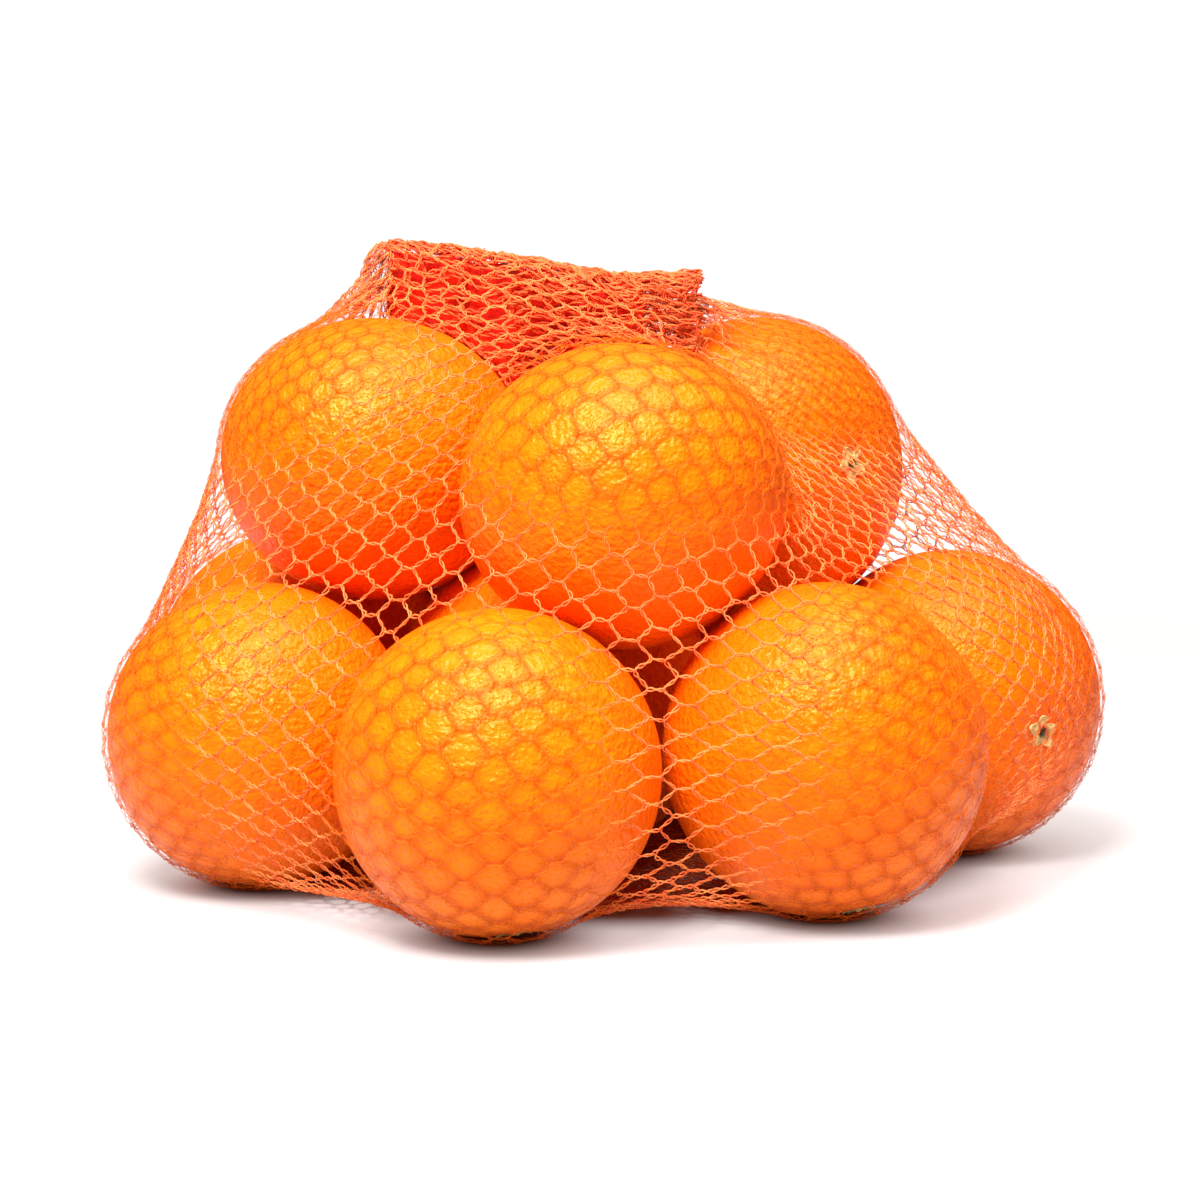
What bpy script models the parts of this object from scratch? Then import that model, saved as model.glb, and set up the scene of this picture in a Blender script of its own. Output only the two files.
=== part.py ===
"""A net bag of oranges, lying on a flat surface with its gathered tail folded over the top.

Frame: metres, +Z up, +X to the right of the side that shows, -Y towards the viewer.
The origin is at the middle of the base.

The filled bag is one closed body: ten oranges, the net that is drawn taut between them, and the
tail of the net, which stands on edge behind the front crests.
The strip of label film that lies along the tail is a second body.
"""

import math
from collections import namedtuple

import bmesh
import bpy
import numpy as np
from mathutils import Vector
from mathutils.bvhtree import BVHTree

# Units
MM = 0.001

# Each orange: the middle in plan, the height of its middle, its radius across and its radius upwards
Orange = namedtuple("Orange", "name x y z across up")

# How far an orange that rests on the surface is pressed flat
PRESS = 0.1 * MM

# Thickness of the knitted net
NET_THICKNESS = 0.7 * MM


def bottom_orange(name, x, y, across, up):
    """Return an orange of the lower layer, which rests on the surface."""
    return Orange(name, x * MM, y * MM, up * MM - PRESS, across * MM, up * MM)


def top_orange(name, x, y, z, across, up):
    """Return an orange of the upper layer, which lies in a hollow of the lower one."""
    return Orange(name, x * MM, y * MM, z * MM, across * MM, up * MM)


ORANGES = [
    bottom_orange("front_left", -89.25, -20.2, 38.0, 38.0),
    bottom_orange("front_middle", -27.75, -77.7, 38.0, 38.3),
    bottom_orange("front_right", 49.25, -55.2, 38.8, 40.0),
    bottom_orange("side_right", 88.25, 22.3, 39.6, 40.1),
    bottom_orange("back_left", -86.25, 59.8, 41.6, 41.4),
    bottom_orange("back_right", 28.25, 76.3, 39.4, 39.7),
    bottom_orange("inner", -14.75, 5.8, 40.2, 40.4),
    top_orange("top_left", -62.25, 8.8, 105.0, 39.5, 36.4),
    top_orange("top_middle", 1.25, -43.7, 99.4, 39.4, 36.8),
    top_orange("top_right", 37.25, 26.3, 100.8, 38.3, 40.4),
    top_orange("top_back", -28.0, 77.0, 94.0, 38.5, 37.5),
]
ORANGE_SEGMENTS = 32
ORANGE_RINGS = 16
FLAT_SPOT_SNAP = 0.15 * MM

# The web: the net between the oranges, which lies this far inside their outer faces
WEB_INSET = 14.0 * MM
WEB_VOXEL = 8.5 * MM
WEB_ROUNDS = 220
WEB_SHARE = 0.5
WEB_FOOT = 3.0 * MM
BALL_SEGMENTS = 40
BALL_RINGS = 24

# Folds of net that are drawn taut between two oranges, each with the side that it faces
SIDE_FOLDS = [
    ("top_right", "side_right", (1.0, 0.0, 0.0)),
    ("top_right", "back_right", (0.2, 1.0, 0.0)),
    ("top_back", "back_right", (0.2, 1.0, 0.0)),
    ("top_back", "back_left", (-0.5, 1.0, 0.0)),
    ("top_left", "back_left", (-1.0, 0.0, 0.0)),
    ("top_left", "front_left", (-1.0, -0.6, 0.0)),
]

# Low down the net is taut too, from each outer orange of the lower layer to the next
BASE_RING = ["front_left", "front_middle", "front_right", "side_right", "back_right", "back_left"]
BASE_FOLD_DOWN = 1.3
FOLD_SAG = 3.2 * MM
FOLD_EDGE_RADIUS = 4.0 * MM
FOLD_ROOT_HALF_WIDTH = 24.0 * MM
FOLD_STEPS = 10
FOLD_ARC_STEPS = 3

# The folded tail: a flattened bunch of net that stands on edge and runs from left to right
TAIL_LEFT = -59.25 * MM
TAIL_RIGHT = 20.25 * MM
TAIL_LEFT_Y = 25.3 * MM
TAIL_RIGHT_Y = 2.3 * MM
TAIL_FOOT = 112.0 * MM
TAIL_HALF_THICKNESS = 4.5 * MM
TAIL_EDGE_HALF_THICKNESS = 1.5 * MM
TAIL_WAVE = 1.5 * MM
TAIL_WAVE_LENGTH = 38.0 * MM
TAIL_STEPS = 18
TAIL_ARC_STEPS = 4
TAIL_SIDE_STEPS = 3

# The tail's upper edge, from its left corner to its cut end
RIDGE_LEFT = 160.5 * MM
RIDGE_DROP = 10.0 * MM
RIDGE_END_RISE = 2.5 * MM

# The net that slopes from the tail's two ends down to the oranges beside it
LEFT_SLOPE_END = -79.25 * MM
LEFT_SLOPE_HEIGHT = 136.0 * MM
RIGHT_SLOPE_START = 146.0 * MM
RIGHT_SLOPE_END = 37.75 * MM
RIGHT_SLOPE_HEIGHT = 140.0 * MM
RIGHT_SLOPE_TURN = 1.4
SLOPE_SAG = 2.0 * MM
SLOPE_STEPS = 6
CUT_STEP = 0.6 * MM

# The label film
FILM_GAP = 0.4 * MM
FILM_THICKNESS = 0.6 * MM
FILM_LEFT = -58.25 * MM
FILM_RIGHT = 6.75 * MM
FILM_TOP_MARGIN = 2.5 * MM
FILM_FOOT_MARGIN = 1.2 * MM
FILM_COLUMNS = 32
FILM_ROWS = 6
FILM_RIPPLE = 0.3 * MM
FILM_RIPPLE_LENGTH = 13.0 * MM
LOOK_DOWN_FROM = 300.0 * MM

NET_COLOUR = (0.95, 0.27, 0.03, 1.0)
NET_ROUGHNESS = 0.45
FILM_COLOUR = (0.72, 0.01, 0.01, 1.0)
FILM_ROUGHNESS = 0.22


def clear_scene():
    """Remove every object of the open scene."""
    for item in list(bpy.data.objects):
        bpy.data.objects.remove(item, do_unlink=True)


def make_material(name, colour, roughness):
    """Return a Principled material of one colour."""
    material = bpy.data.materials.new(name)
    material.use_nodes = True
    shader = material.node_tree.nodes["Principled BSDF"]
    shader.inputs["Base Color"].default_value = colour
    shader.inputs["Roughness"].default_value = roughness
    shader.inputs["Metallic"].default_value = 0.0
    return material


def add_object(name, mesh):
    """Link a mesh to the scene as an object of that name."""
    item = bpy.data.objects.new(name, mesh)
    bpy.context.scene.collection.objects.link(item)
    return item


def evaluated_mesh(item):
    """Return a new mesh of the object with its modifiers applied."""
    view = bpy.context.evaluated_depsgraph_get()
    return bpy.data.meshes.new_from_object(item.evaluated_get(view))


def skin_rings(name, rings):
    """Return an object of the closed body through those outlines, with its two ends filled."""
    shape = bmesh.new()
    loops = [[shape.verts.new(point) for point in ring] for ring in rings]
    count = len(loops[0])
    for loop, following in zip(loops, loops[1:]):
        for index in range(count):
            after = (index + 1) % count
            shape.faces.new((loop[index], loop[after], following[after], following[index]))
    shape.faces.new(loops[0])
    shape.faces.new(loops[-1])
    bmesh.ops.recalc_face_normals(shape, faces=shape.faces)
    mesh = bpy.data.meshes.new(name)
    shape.to_mesh(mesh)
    shape.free()
    return add_object(name, mesh)


def make_fold(first, second, facing):
    """Make a taut fold: a wedge whose rounded edge follows the tangent of two oranges, with a small sag."""
    start = Vector((first.x, first.y, first.z))
    end = Vector((second.x, second.y, second.z))
    along = (end - start).normalized()
    outward = Vector(facing) - along * Vector(facing).dot(along)
    outward.normalize()
    side = along.cross(outward)
    rings = []
    for step in range(FOLD_STEPS + 1):
        share = step / FOLD_STEPS
        root = start.lerp(end, share)
        radius = first.across + (second.across - first.across) * share
        reach = radius - FOLD_SAG * 4.0 * share * (1.0 - share) - FOLD_EDGE_RADIUS
        ring = [root - side * FOLD_ROOT_HALF_WIDTH]
        for arc_step in range(FOLD_ARC_STEPS + 1):
            angle = math.pi * arc_step / FOLD_ARC_STEPS
            turned = outward * math.sin(angle) - side * math.cos(angle)
            ring.append(root + outward * reach + turned * FOLD_EDGE_RADIUS)
        ring.append(root + side * FOLD_ROOT_HALF_WIDTH)
        rings.append(ring)
    return skin_rings("fold", rings)


def make_folds():
    """Make every taut fold: those on the sides, then those low down round the base."""
    fruit = {orange.name: orange for orange in ORANGES}
    folds = [make_fold(fruit[upper], fruit[lower], facing) for upper, lower, facing in SIDE_FOLDS]
    for name, following in zip(BASE_RING, BASE_RING[1:] + BASE_RING[:1]):
        first = fruit[name]
        second = fruit[following]
        plan = Vector((first.x + second.x, first.y + second.y, 0.0)).normalized()
        folds.append(make_fold(first, second, (plan.x, plan.y, -BASE_FOLD_DOWN)))
    return folds


def ball_points(centre, across, up):
    """Return points spread over a ball in rings: a sine across and a cosine upwards."""
    polar = np.linspace(0.0, math.pi, BALL_RINGS + 1)[:, None]
    turn = np.linspace(0.0, 2.0 * math.pi, BALL_SEGMENTS, endpoint=False)[None, :]
    x = centre[0] + across * np.sin(polar) * np.cos(turn)
    y = centre[1] + across * np.sin(polar) * np.sin(turn)
    z = centre[2] + up * np.cos(polar) + 0.0 * turn
    return np.stack([x, y, z], axis=-1).reshape(-1, 3)


def web_start():
    """Return the hull round the inset oranges, recut into even faces."""
    points = []
    for orange in ORANGES:
        centre = (orange.x, orange.y, orange.z)
        points.append(ball_points(centre, orange.across - WEB_INSET, orange.up - WEB_INSET))
    shape = bmesh.new()
    for point in np.concatenate(points):
        shape.verts.new(point)
    hull = bmesh.ops.convex_hull(shape, input=shape.verts)
    inner = set(hull["geom_interior"] + hull["geom_unused"])
    bmesh.ops.delete(shape, geom=[item for item in inner if isinstance(item, bmesh.types.BMVert)], context="VERTS")
    mesh = bpy.data.meshes.new("hull")
    shape.to_mesh(mesh)
    shape.free()
    guide = add_object("hull", mesh)
    remesh = guide.modifiers.new("even faces", "REMESH")
    remesh.mode = "VOXEL"
    remesh.voxel_size = WEB_VOXEL
    even = evaluated_mesh(guide)
    bpy.data.objects.remove(guide, do_unlink=True)
    return even


def push_out(points, centre, radii):
    """Move every point that is inside a ball of those radii out to its face."""
    offset = (points - centre) / radii
    depth = np.linalg.norm(offset, axis=1)
    inside = depth < 1.0
    points[inside] = centre + offset[inside] / depth[inside, None] * radii


def make_web():
    """Draw the hull tight: each round moves points to their neighbours' mean, then out of the oranges."""
    mesh = web_start()
    count = len(mesh.vertices)
    points = np.empty(count * 3)
    mesh.vertices.foreach_get("co", points)
    points = points.reshape(count, 3)
    edges = np.empty(len(mesh.edges) * 2, dtype=np.int64)
    mesh.edges.foreach_get("vertices", edges)
    first, second = edges.reshape(-1, 2).T
    degree = np.bincount(np.concatenate([first, second]), minlength=count)[:, None]
    for _ in range(WEB_ROUNDS):
        total = np.zeros_like(points)
        np.add.at(total, first, points[second])
        np.add.at(total, second, points[first])
        points += WEB_SHARE * (total / degree - points)
        for orange in ORANGES:
            radii = np.array([orange.across, orange.across, orange.up]) - WEB_INSET
            push_out(points, np.array([orange.x, orange.y, orange.z]), radii)
        points[:, 2] = np.maximum(points[:, 2], WEB_FOOT)
    mesh.vertices.foreach_set("co", points.ravel())
    mesh.update()
    return add_object("web", mesh)


def make_orange(orange):
    """Make one orange as a ball with the net's thickness on it, pressed flat where it rests."""
    shape = bmesh.new()
    bmesh.ops.create_uvsphere(shape, u_segments=ORANGE_SEGMENTS, v_segments=ORANGE_RINGS, radius=1.0)
    for vertex in shape.verts:
        vertex.co.x = orange.x + vertex.co.x * (orange.across + NET_THICKNESS)
        vertex.co.y = orange.y + vertex.co.y * (orange.across + NET_THICKNESS)
        vertex.co.z = orange.z + vertex.co.z * (orange.up + NET_THICKNESS)
        if vertex.co.z < FLAT_SPOT_SNAP:
            vertex.co.z = 0.0
    mesh = bpy.data.meshes.new(orange.name)
    shape.to_mesh(mesh)
    shape.free()
    return add_object(orange.name, mesh)


def tail_centre(x):
    """Return the y of the tail's middle plane at x: a lean with a slow wave, turned back past the cut end."""
    share = (x - TAIL_LEFT) / (TAIL_RIGHT - TAIL_LEFT)
    lean = TAIL_LEFT_Y + (TAIL_RIGHT_Y - TAIL_LEFT_Y) * share
    lean += RIGHT_SLOPE_TURN * max(x - TAIL_RIGHT, 0.0)
    return lean + TAIL_WAVE * math.sin(2.0 * math.pi * (x - TAIL_LEFT) / TAIL_WAVE_LENGTH)


def ridge_height(x):
    """Return the height of the tail's upper edge at x: a smooth drop, then a small rise at the cut end."""
    share = min(max((x - TAIL_LEFT) / (TAIL_RIGHT - TAIL_LEFT), 0.0), 1.0)
    drop = RIDGE_DROP * (3.0 * share**2 - 2.0 * share**3)
    return RIDGE_LEFT - drop + RIDGE_END_RISE * max(share * 4.0 - 3.0, 0.0)


def slope(start, end, share):
    """Return a height on a slope that sags a little between its two ends."""
    return start + (end - start) * share - SLOPE_SAG * 4.0 * share * (1.0 - share)


def tail_sections():
    """Return the tail's sections as (x, height, half thickness), with a sharp step at the cut end."""
    sections = []
    for step in range(SLOPE_STEPS):
        share = step / SLOPE_STEPS
        x = LEFT_SLOPE_END + (TAIL_LEFT - LEFT_SLOPE_END) * share
        half = TAIL_EDGE_HALF_THICKNESS + (TAIL_HALF_THICKNESS - TAIL_EDGE_HALF_THICKNESS) * share
        sections.append((x, slope(LEFT_SLOPE_HEIGHT, RIDGE_LEFT, share), half))
    for step in range(TAIL_STEPS + 1):
        x = TAIL_LEFT + (TAIL_RIGHT - TAIL_LEFT) * step / TAIL_STEPS
        sections.append((x, ridge_height(x), TAIL_HALF_THICKNESS))
    for step in range(SLOPE_STEPS + 1):
        share = step / SLOPE_STEPS
        x = TAIL_RIGHT + CUT_STEP + (RIGHT_SLOPE_END - TAIL_RIGHT) * share
        half = TAIL_HALF_THICKNESS + (TAIL_EDGE_HALF_THICKNESS - TAIL_HALF_THICKNESS) * share
        sections.append((x, slope(RIGHT_SLOPE_START, RIGHT_SLOPE_HEIGHT, share), half))
    return sections


def tail_outline(x, height, half):
    """Return one section's outline: two upright sides, joined by a half round above and below."""
    middle = tail_centre(x)
    high = height - half
    outline = []
    for base, turn in ((high, 0.0), (TAIL_FOOT, math.pi)):
        for step in range(TAIL_ARC_STEPS + 1):
            angle = turn + math.pi * step / TAIL_ARC_STEPS
            outline.append((x, middle + half * math.cos(angle), base + half * math.sin(angle)))
        other = TAIL_FOOT if base == high else high
        side = -half if base == high else half
        for step in range(1, TAIL_SIDE_STEPS):
            outline.append((x, middle + side, base + (other - base) * step / TAIL_SIDE_STEPS))
    return outline


def make_tail():
    """Make the closed body of the folded tail by carrying its outline along the ridge."""
    rings = [tail_outline(x, height, half) for x, height, half in tail_sections()]
    return skin_rings("tail", rings)


def join_all(web, pieces):
    """Join the oranges, the folds and the tail to the web between them, and return the joined mesh."""
    group = bpy.data.collections.new("pieces")
    for piece in pieces:
        group.objects.link(piece)
    join = web.modifiers.new("join the pieces", "BOOLEAN")
    join.operation = "UNION"
    join.solver = "EXACT"
    join.operand_type = "COLLECTION"
    join.collection = group
    joined = evaluated_mesh(web)
    for piece in pieces + [web]:
        bpy.data.objects.remove(piece, do_unlink=True)
    bpy.data.collections.remove(group)
    return joined


def make_net():
    """Make the closed body of the filled net."""
    pieces = [make_orange(orange) for orange in ORANGES] + make_folds() + [make_tail()]
    mesh = join_all(make_web(), pieces)
    shape = bmesh.new()
    shape.from_mesh(mesh)
    bmesh.ops.triangulate(shape, faces=shape.faces)
    shape.to_mesh(mesh)
    shape.free()
    mesh.name = "orange_net"
    mesh.shade_smooth()
    mesh.set_sharp_from_angle(angle=math.radians(35.0))
    mesh.materials.append(make_material("orange net", NET_COLOUR, NET_ROUGHNESS))
    return add_object("orange_net", mesh)


def film_grid(net):
    """Return the film's front and back points: columns along the tail's front, rows from foot to top."""
    tree = BVHTree.FromObject(net, bpy.context.evaluated_depsgraph_get())
    front = []
    back = []
    for column in range(FILM_COLUMNS + 1):
        x = FILM_LEFT + (FILM_RIGHT - FILM_LEFT) * column / FILM_COLUMNS
        ripple = FILM_RIPPLE * (1.0 + math.sin(2.0 * math.pi * x / FILM_RIPPLE_LENGTH))
        y = tail_centre(x) - TAIL_HALF_THICKNESS - FILM_GAP - ripple
        low = 0.0
        for depth in (0.0, 0.5 * FILM_THICKNESS, FILM_THICKNESS):
            place, _, _, _ = tree.ray_cast(Vector((x, y - depth, LOOK_DOWN_FROM)), Vector((0.0, 0.0, -1.0)))
            low = max(low, place.z + FILM_FOOT_MARGIN)
        high = ridge_height(x) - FILM_TOP_MARGIN
        for row in range(FILM_ROWS + 1):
            z = low + (high - low) * row / FILM_ROWS
            back.append((x, y, z))
            front.append((x, y - FILM_THICKNESS, z))
    return front, back


def make_film(net):
    """Make the strip of label film: a thin wavy sheet that stands against the front of the tail."""
    front, back = film_grid(net)
    layer = len(front)
    rows = FILM_ROWS + 1
    faces = []
    for column in range(FILM_COLUMNS):
        for row in range(FILM_ROWS):
            a = column * rows + row
            b = a + rows
            faces.append((a, b, b + 1))
            faces.append((a, b + 1, a + 1))
            faces.append((layer + a, layer + b + 1, layer + b))
            faces.append((layer + a, layer + a + 1, layer + b + 1))
    rim = [column * rows for column in range(FILM_COLUMNS + 1)]
    rim += [FILM_COLUMNS * rows + row for row in range(1, rows)]
    rim += [column * rows + FILM_ROWS for column in range(FILM_COLUMNS - 1, -1, -1)]
    rim += list(range(FILM_ROWS - 1, 0, -1))
    for a, b in zip(rim, rim[1:] + rim[:1]):
        faces.append((a, layer + a, layer + b))
        faces.append((a, layer + b, b))
    mesh = bpy.data.meshes.new("label_film")
    mesh.from_pydata(front + back, [], faces)
    mesh.shade_smooth()
    mesh.materials.append(make_material("label film", FILM_COLOUR, FILM_ROUGHNESS))
    return add_object("label_film", mesh)


def main():
    """Build the part."""
    clear_scene()
    net = make_net()
    make_film(net)


main()
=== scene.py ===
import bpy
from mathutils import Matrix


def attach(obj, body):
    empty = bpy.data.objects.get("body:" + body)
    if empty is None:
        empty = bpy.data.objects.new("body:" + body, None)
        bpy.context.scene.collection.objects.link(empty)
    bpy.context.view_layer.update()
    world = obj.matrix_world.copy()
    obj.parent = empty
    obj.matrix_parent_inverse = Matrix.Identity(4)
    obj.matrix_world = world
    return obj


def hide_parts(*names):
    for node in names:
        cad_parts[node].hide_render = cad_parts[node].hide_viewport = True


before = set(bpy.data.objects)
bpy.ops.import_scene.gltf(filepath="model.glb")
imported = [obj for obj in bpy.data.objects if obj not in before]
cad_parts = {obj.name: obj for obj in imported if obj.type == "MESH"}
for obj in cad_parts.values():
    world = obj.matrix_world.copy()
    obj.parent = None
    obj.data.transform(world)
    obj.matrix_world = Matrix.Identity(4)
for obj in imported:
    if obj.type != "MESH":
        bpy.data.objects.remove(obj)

"""A net bag of oranges: the fruit, the knitted net over it, its gathered tail and a strip of label film.

Lengths in the classes are in millimetres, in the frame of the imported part: +Z up, +X to the right of the
side that shows, -Y towards the viewer. They become metres where a mesh is made.
"""

import logging
import math
from dataclasses import dataclass, field
from enum import Enum
from functools import cached_property

import bpy
import numpy as np
from bpy.types import ID, Material, Node, NodeSocket, Object
from mathutils import Matrix, Vector

Array = np.ndarray

MM = 0.001
FULL_TURN = 2.0 * math.pi
DRAWN_TURN = 6.28
BLACK = (0.0, 0.0, 0.0, 1.0)
WHITE = (1.0, 1.0, 1.0, 1.0)
BODY = "root"
NET_NODE = "orange_net"
FILM_NODE = "label_film"
NET_GAP = 0.55
NET_FLOOR = 0.45

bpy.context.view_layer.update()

log = logging.getLogger("net_of_oranges")


class Slot(Enum):
    """The record's material slots."""

    PEEL = "peel"
    NET = "net"
    FILM = "film"
    STEM = "stem"


# Shader maths


class Value:
    """A number in a shader, on which sums and products add their Math nodes."""

    def __init__(self, sheet: "Sheet", socket: NodeSocket) -> None:
        """Wrap a socket of that sheet."""
        self.sheet = sheet
        self.socket = socket

    def math(self, operation: str, first: object, second: object) -> "Value":
        """Return what one Math node of that operation makes of two numbers or values."""
        made = self.sheet.node("ShaderNodeMath", {"operation": operation}, {0: first, 1: second})
        return Value(self.sheet, made.outputs[0])

    def __add__(self, other: object) -> "Value":
        """Return the sum."""
        return self.math("ADD", self, other)

    def __sub__(self, other: object) -> "Value":
        """Return the difference."""
        return self.math("SUBTRACT", self, other)

    def __rsub__(self, other: object) -> "Value":
        """Return the reversed difference."""
        return self.math("SUBTRACT", other, self)

    def __mul__(self, other: object) -> "Value":
        """Return the product."""
        return self.math("MULTIPLY", self, other)

    __radd__ = __add__
    __rmul__ = __mul__

    def between(self, low: float, high: float) -> "Value":
        """Add a smooth step.

        Args:
            low: where it starts.
            high: where it ends.

        Returns:
            0 below low and 1 above high.
        """
        made = self.sheet.node(
            "ShaderNodeMapRange",
            {"interpolation_type": "SMOOTHSTEP"},
            {"Value": self, "From Min": low, "From Max": high, "To Min": 0.0, "To Max": 1.0},
        )
        return Value(self.sheet, made.outputs[0])


class Sheet:
    """The node tree of one material or world, with one method that adds any node."""

    def __init__(self, owner: ID, shader: str = "Principled BSDF") -> None:
        """Take the nodes of a new material or world.

        Args:
            owner: the material or world.
            shader: the name of its shader's node.
        """
        owner.use_nodes = True
        self.owner = owner
        self.tree = owner.node_tree
        self.shader = self.tree.nodes[shader]

    @cached_property
    def object_place(self) -> NodeSocket:
        """Return the piece's own coordinates, in metres."""
        return self.node("ShaderNodeTexCoord", {}, {}).outputs["Object"]

    def node(self, kind: str, settings: dict, inputs: dict) -> Node:
        """Add a node.

        Args:
            kind: the node's type.
            settings: its settings, set first.
            inputs: numbers, colours, sockets or values, by socket name or number.

        Returns:
            The new node.
        """
        made = self.tree.nodes.new(kind)
        for name, value in settings.items():
            setattr(made, name, value)
        self.fill(made, inputs)
        return made

    def fill(self, made: Node, inputs: dict) -> None:
        """Set or link the sockets of a node.

        Args:
            made: the node.
            inputs: what goes into its sockets, as for node.
        """
        for name, value in inputs.items():
            if isinstance(value, Value):
                value = value.socket
            if isinstance(value, NodeSocket):
                self.tree.links.new(value, made.inputs[name])
            else:
                made.inputs[name].default_value = value

    def attribute(self, name: str) -> Value:
        """Return a number that the mesh carries under that name."""
        made = self.node("ShaderNodeAttribute", {"attribute_name": name}, {})
        return Value(self, made.outputs["Fac"])

    def noise(self, scale: float, detail: float) -> Value:
        """Return smooth noise on the piece's own coordinates, scale being its waves to the metre."""
        inputs = {"Vector": self.object_place, "Scale": scale, "Detail": detail, "Roughness": 0.5}
        return Value(self, self.node("ShaderNodeTexNoise", {}, inputs).outputs["Fac"])

    def cells(self, scale: float) -> Value:
        """Return the distance to the nearest of many scattered points."""
        made = self.node("ShaderNodeTexVoronoi", {}, {"Vector": self.object_place, "Scale": scale})
        return Value(self, made.outputs["Distance"])

    def blend(self, factor: Value, first: object, second: object) -> NodeSocket:
        """Return a colour that goes from first to second as factor goes from 0 to 1."""
        made = self.node("ShaderNodeMix", {"data_type": "RGBA"}, {0: factor, 6: first, 7: second})
        return made.outputs[2]

    def bump(self, height: Value, depth: float, strength: float) -> NodeSocket:
        """Return a normal for that height, with depth in metres."""
        made = self.node("ShaderNodeBump", {}, {"Height": height, "Distance": depth, "Strength": strength})
        return made.outputs["Normal"]

    def dress(self, inputs: dict) -> ID:
        """Set the shader's sockets and return the material or world."""
        self.fill(self.shader, inputs)
        return self.owner


# Finishes


@dataclass(frozen=True)
class PeelFinish:
    """Pebbly orange peel with a soft waxy gloss. Scales are waves to the metre."""

    bright: tuple = (0.96, 0.208, 0.002, 1.0)
    deep: tuple = (0.92, 0.120, 0.001, 1.0)
    pit: tuple = (0.86, 0.09, 0.001, 1.0)
    # Painted shadow: the colour the skin takes under the net's strands.
    painted_net_shadow: tuple = (0.64, 0.070, 0.001, 1.0)
    gloss: tuple = (1.0, 0.74, 0.24, 1.0)
    stem_end: tuple = (0.80, 0.09, 0.01, 1.0)
    patch_scale: float = 26.0
    mottle_scale: float = 150.0
    pebble_scale: float = 620.0
    pit_scale: float = 760.0
    shade_shares: tuple = (0.7, 0.5)
    shade_span: tuple = (0.15, 1.05)
    pit_span: tuple = (0.02, 0.24)
    pit_tint: float = 0.4
    stem_tint: float = 0.55
    net_shadow_tint: float = 0.95
    pebble_height: float = 1.6
    pit_height: float = 0.4
    roughness: float = 0.30
    rougher: tuple = (0.08, 0.12, 0.15)
    bump_depth: float = 0.0006
    bump_strength: float = 0.82
    specular: float = 0.34

    def material(self) -> Material:
        """Make the material: mottled colour, darker pits, painted shadow lines under the net's strands, and
        pebbles raised by a bump.

        Returns:
            The material.
        """
        sheet = Sheet(bpy.data.materials.new("orange peel"))
        patches = sheet.noise(self.patch_scale, 2.0)
        mottle = sheet.noise(self.mottle_scale, 2.0)
        pebbles = sheet.noise(self.pebble_scale, 1.5)
        pits = sheet.cells(self.pit_scale)
        tone = sheet.attribute("tone")
        # net_shade holds the painted shadow lines that the strands lay on the skin.
        lines = sheet.attribute("net_shade")
        patch_share, mottle_share = self.shade_shares
        shade = (patches * patch_share + mottle * mottle_share + tone).between(*self.shade_span)
        dots = 1.0 - pits.between(*self.pit_span)
        skin = sheet.blend(shade, self.bright, self.deep)
        skin = sheet.blend(dots * self.pit_tint, skin, self.pit)
        skin = sheet.blend(sheet.attribute("stem_end") * self.stem_tint, skin, self.stem_end)
        # Painted shadow of the net's strands, blended into the skin colour.
        skin = sheet.blend(lines * self.net_shadow_tint, skin, self.painted_net_shadow)
        height = pebbles * self.pebble_height - dots * self.pit_height
        mottled, pitted, lined = self.rougher
        return sheet.dress(
            {
                "Base Color": skin,
                "Roughness": self.roughness + mottle * mottled + dots * pitted + lines * lined,
                "Normal": sheet.bump(height, self.bump_depth, self.bump_strength),
                "Specular IOR Level": self.specular,
                "Specular Tint": self.gloss,
            }
        )


@dataclass(frozen=True)
class ThreadFinish:
    """Fine salmon-orange plastic thread, slightly see-through."""

    name: str = "net thread"
    light: tuple = (1.0, 0.31, 0.09, 1.0)
    dark: tuple = (0.92, 0.18, 0.045, 1.0)
    # Painted warm bounce light from the skin, where the thread rests on the fruit.
    resting_bounce: tuple = (0.82, 0.17, 0.008, 1.0)
    gloss: tuple = (1.0, 0.72, 0.45, 1.0)
    cover: float = 0.64
    resting_loss: float = 0.36
    tone_scale: float = 240.0
    tone_span: tuple = (0.3, 0.7)
    roughness: float = 0.42
    rougher: float = 0.15
    specular: float = 0.25

    def material(self) -> Material:
        """Make the material: two tones along the thread, fainter where it rests on the fruit, and there
        warmer with painted bounce light from the skin.

        Returns:
            The material.
        """
        sheet = Sheet(bpy.data.materials.new(self.name))
        tone = sheet.noise(self.tone_scale, 0.0)
        # Where the thread rests on the fruit: it is fainter there and takes painted bounce light from the
        # skin.
        resting_bounce = sheet.attribute("resting_bounce")
        colour = sheet.blend(tone.between(*self.tone_span), self.light, self.dark)
        return sheet.dress(
            {
                "Base Color": sheet.blend(resting_bounce, colour, self.resting_bounce),
                "Roughness": self.roughness + tone * self.rougher,
                "Alpha": self.cover - resting_bounce * self.resting_loss,
                "Specular Tint": self.gloss,
                "Specular IOR Level": self.specular,
            }
        )


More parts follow.
